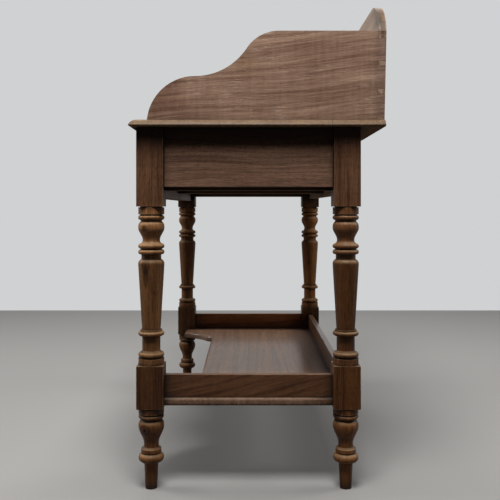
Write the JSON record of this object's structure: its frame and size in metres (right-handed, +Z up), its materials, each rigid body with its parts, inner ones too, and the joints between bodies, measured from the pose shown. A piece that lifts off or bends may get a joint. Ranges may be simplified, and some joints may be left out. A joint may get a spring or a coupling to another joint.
{
  "type": "washstand",
  "caption": "Wooden washstand with a shaped splash gallery round its moulded top, drawers in the frieze, turned legs and a low galleried shelf with a recessed front.",
  "frame": {"origin": "on the floor, under the middle of the whole piece with its drawers shut, knobs included", "axes": "+Z up, the front with its drawers faces -Y, +X is the right-hand end seen from the front"},
  "size_m": [0.946, 0.5254, 0.9976],
  "materials": {
    "leg_mahogany": "satin, worn",
    "top_mahogany": "satin, worn",
    "gallery_mahogany": "satin, dry",
    "frieze_mahogany": "satin, worn",
    "shelf_mahogany": "satin, worn",
    "drawer_mahogany": "satin, worn",
    "knob_mahogany": "polished",
    "carcase_pine": "bare, aged",
    "drawer_lining_pine": "bare, aged",
    "dowel_beech": "bare",
    "screw_steel": "dull",
    "nail_iron": "dull"
  },
  "bodies": {
    "stand": {"back_rail": "carcase_pine", "centre_guide": "carcase_pine", "centre_kicker": "carcase_pine", "centre_muntin": "frieze_mahogany", "centre_runner": "carcase_pine", "drawer_stops": "carcase_pine", "front_bottom_rail": "frieze_mahogany", "front_top_rail": "frieze_mahogany", "gallery_back": "gallery_mahogany", "gallery_dowels": "dowel_beech", "gallery_side_left": "gallery_mahogany", "gallery_side_right": "gallery_mahogany", "glue_blocks": "carcase_pine", "leg_back_left": "leg_mahogany", "leg_back_right": "leg_mahogany", "leg_front_left": "leg_mahogany", "leg_front_right": "leg_mahogany", "shelf_board": "shelf_mahogany", "shelf_rail_back": "shelf_mahogany", "shelf_rail_left": "shelf_mahogany", "shelf_rail_right": "shelf_mahogany", "side_guide_left": "carcase_pine", "side_guide_right": "carcase_pine", "side_kicker_left": "carcase_pine", "side_kicker_right": "carcase_pine", "side_rail_left": "frieze_mahogany", "side_rail_right": "frieze_mahogany", "side_runner_left": "carcase_pine", "side_runner_right": "carcase_pine", "top_board": "top_mahogany", "top_screws": "screw_steel"},
    "drawer_left": {"drawer_left_back": "drawer_lining_pine", "drawer_left_bottom": "drawer_lining_pine", "drawer_left_front": "drawer_mahogany", "drawer_left_inner_side": "drawer_lining_pine", "drawer_left_knob": "knob_mahogany", "drawer_left_nails": "nail_iron", "drawer_left_outer_side": "drawer_lining_pine"},
    "drawer_right": {"drawer_right_back": "drawer_lining_pine", "drawer_right_bottom": "drawer_lining_pine", "drawer_right_front": "drawer_mahogany", "drawer_right_inner_side": "drawer_lining_pine", "drawer_right_knob": "knob_mahogany", "drawer_right_nails": "nail_iron", "drawer_right_outer_side": "drawer_lining_pine"}
  },
  "joints": [
    {"name": "drawer_right_slide", "type": "slide", "parent": "stand", "child": "drawer_right", "axis": [0, -1, 0], "range_m": [0, 0.28]},
    {"name": "drawer_left_slide", "type": "slide", "parent": "stand", "child": "drawer_left", "axis": [0, -1, 0], "range_m": [0, 0.28]}
  ]
}
